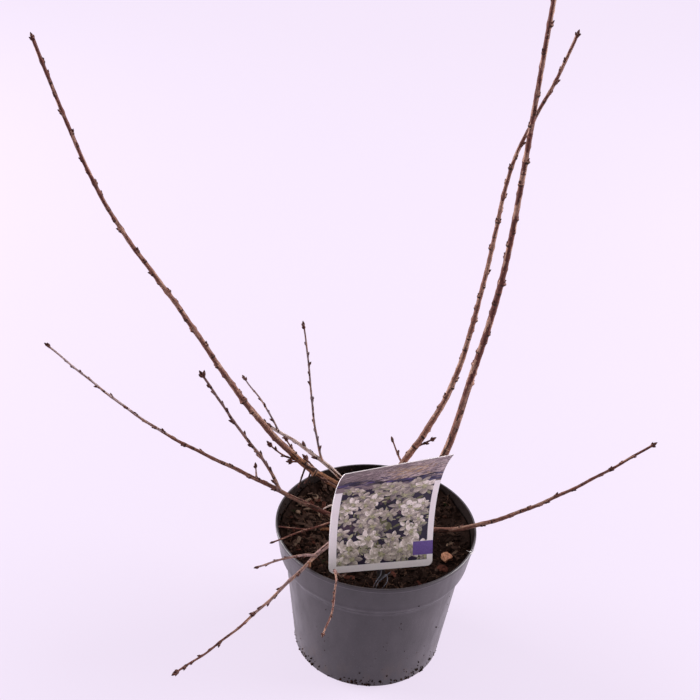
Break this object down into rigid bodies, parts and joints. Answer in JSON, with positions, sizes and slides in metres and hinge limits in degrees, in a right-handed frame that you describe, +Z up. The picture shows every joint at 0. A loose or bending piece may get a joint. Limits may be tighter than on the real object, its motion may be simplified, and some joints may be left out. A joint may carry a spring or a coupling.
{
  "type": "potted cherry shrub",
  "caption": "Bare young cherry shrub with long whippy stems and winter buds, growing from a short stump in a round tapered nursery pot of compost with a curled plant label.",
  "frame": {"origin": "centre of the flat underside of the pot, on the surface it stands on", "axes": "+Z up, the way the plant grows; +X to the right and +Y away from the viewer as the picture shows the plant, with the label on the -Y side"},
  "size_m": [0.4915, 0.2752, 0.6801],
  "materials": {
    "pot_plastic": "matt moulded dark grey plastic, lightly scuffed",
    "compost": "damp dark peat and bark compost",
    "label_card": "printed flexible plastic card, satin",
    "bark": "thin red-brown bark with pale flecks",
    "shoots": "smooth red-brown young bark with dark buds"
  },
  "bodies": {
    "root": {"pot": "pot_plastic", "soil": "compost", "label": "label_card", "trunk": "bark", "bough_left_tall": "bark", "bough_left_low": "bark", "bough_left_pale": "bark", "bough_right_rear": "bark", "bough_right_tall": "bark", "bough_right_low": "bark", "bough_front_left": "bark", "twigs_left_tall": "shoots", "twigs_left_low": "shoots", "twigs_left_pale": "shoots", "twigs_right_rear": "shoots", "twigs_right_tall": "shoots", "twigs_right_low": "shoots", "twigs_front_left": "shoots", "twigs_left_thin": "shoots", "twigs_front_thin": "shoots"}
  },
  "joints": []
}
